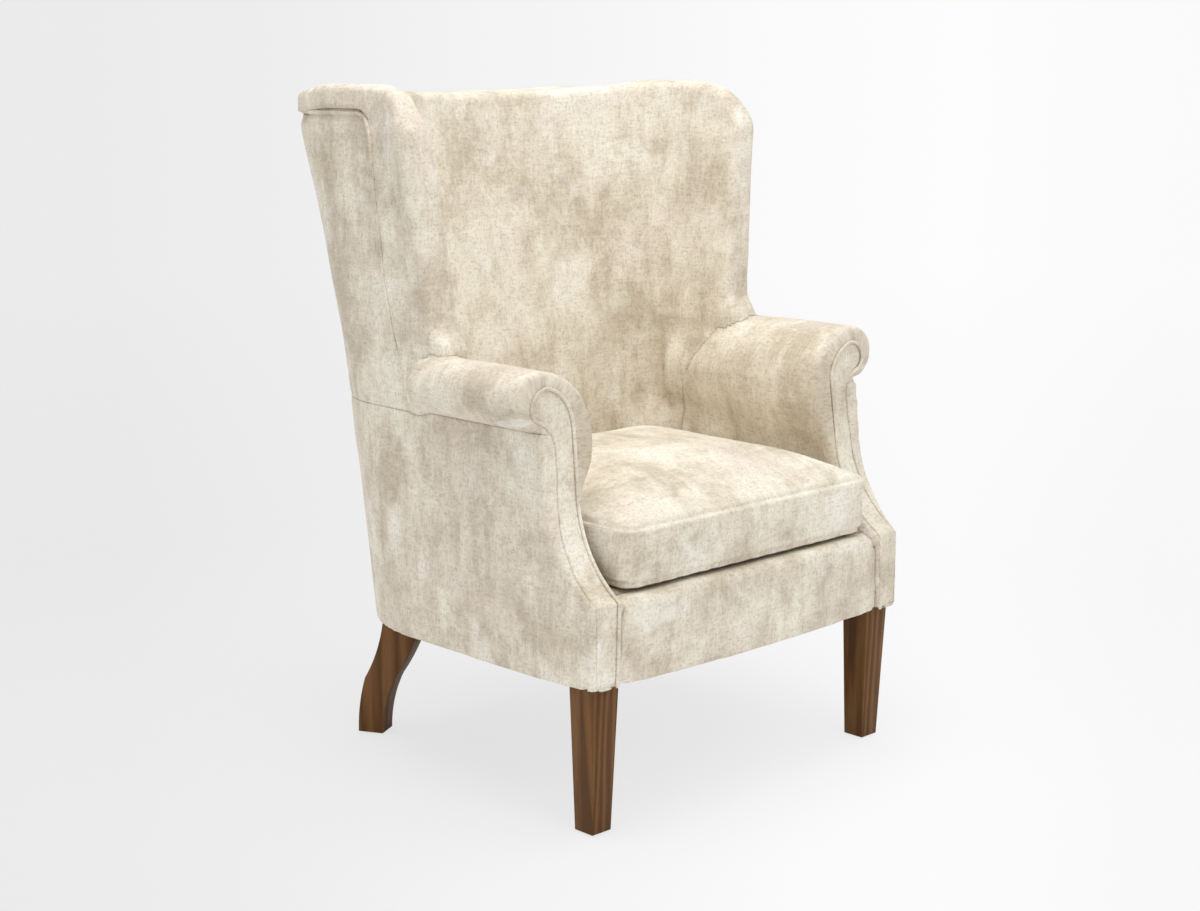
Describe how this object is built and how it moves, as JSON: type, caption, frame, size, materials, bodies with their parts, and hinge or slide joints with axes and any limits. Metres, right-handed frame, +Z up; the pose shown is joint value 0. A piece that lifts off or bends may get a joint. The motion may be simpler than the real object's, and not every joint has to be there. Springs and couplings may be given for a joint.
{
  "type": "upholstered armchair",
  "caption": "Wing armchair with scroll arms, a rounded tall back, tapered wood legs and a loose crowned seat cushion.",
  "frame": {"origin": "on the floor, below the middle of the chair's overall box", "axes": "+Z up, the chair faces -Y, +X is the right-hand side as seen from in front"},
  "size_m": [0.754, 0.7219, 1.0138],
  "materials": {
    "cover_cloth": "mottled cream chenille velvet with a fine vertical streak",
    "welt_cloth": "the same cloth, folded into a cord",
    "padding": "white polyester wadding over foam",
    "foam": "seat foam in a wadding wrap",
    "deck_cloth": "plain woven platform cloth",
    "dust_cloth": "black non-woven cloth",
    "webbing": "woven jute strap",
    "spring_steel": "drawn wire, dull",
    "zinc_steel": "zinc plated",
    "glide_plastic": "dark nylon",
    "zip_plastic": "cream coil zip on woven tape",
    "slider_metal": "cream enamelled slider",
    "leg_wood": "mid-brown stain under satin lacquer",
    "frame_wood": "planed, unfinished"
  },
  "bodies": {
    "chair": {"arm_cover_left": "cover_cloth", "arm_cover_right": "cover_cloth", "arm_facing_left": "cover_cloth", "arm_facing_right": "cover_cloth", "arm_padding_left": "padding", "arm_padding_right": "padding", "arm_post_left": "frame_wood", "arm_post_right": "frame_wood", "arm_rail_left": "frame_wood", "arm_rail_right": "frame_wood", "back_cover": "cover_cloth", "back_padding": "padding", "back_post_left": "frame_wood", "back_post_right": "frame_wood", "back_webbing": "webbing", "crest_rail": "frame_wood", "dust_cover": "dust_cloth", "facing_welt_left": "welt_cloth", "facing_welt_right": "welt_cloth", "frame_dowels": "frame_wood", "front_border": "cover_cloth", "front_leg_left": "leg_wood", "front_leg_right": "leg_wood", "front_seat_rail": "frame_wood", "leg_bolts": "zinc_steel", "leg_glides": "glide_plastic", "lumbar_rail": "frame_wood", "outside_arm_left": "cover_cloth", "outside_arm_right": "cover_cloth", "outside_back": "cover_cloth", "outside_wing_left": "cover_cloth", "outside_wing_right": "cover_cloth", "rear_leg_left": "leg_wood", "rear_leg_right": "leg_wood", "rear_seat_rail": "frame_wood", "seat_corner_blocks": "frame_wood", "seat_platform": "deck_cloth", "seat_springs": "spring_steel", "side_seat_rail_left": "frame_wood", "side_seat_rail_right": "frame_wood", "spring_clips": "zinc_steel", "wing_post_left": "frame_wood", "wing_post_right": "frame_wood", "wing_rail_left": "frame_wood", "wing_rail_right": "frame_wood", "wing_welt_left": "welt_cloth", "wing_welt_right": "welt_cloth"},
    "seat_cushion": {"cushion_cover": "cover_cloth", "cushion_core": "foam", "cushion_zip": "zip_plastic"},
    "zip_slider": {"zip_slider": "slider_metal"}
  },
  "joints": [
    {"name": "cushion_slide", "type": "slide", "parent": "chair", "child": "seat_cushion", "axis": [0, -0.995, 0.0995], "range_m": [0, 0.65]},
    {"name": "zip_travel", "type": "slide", "parent": "seat_cushion", "child": "zip_slider", "axis": [1, 0, 0], "range_m": [0, 0.27]}
  ]
}
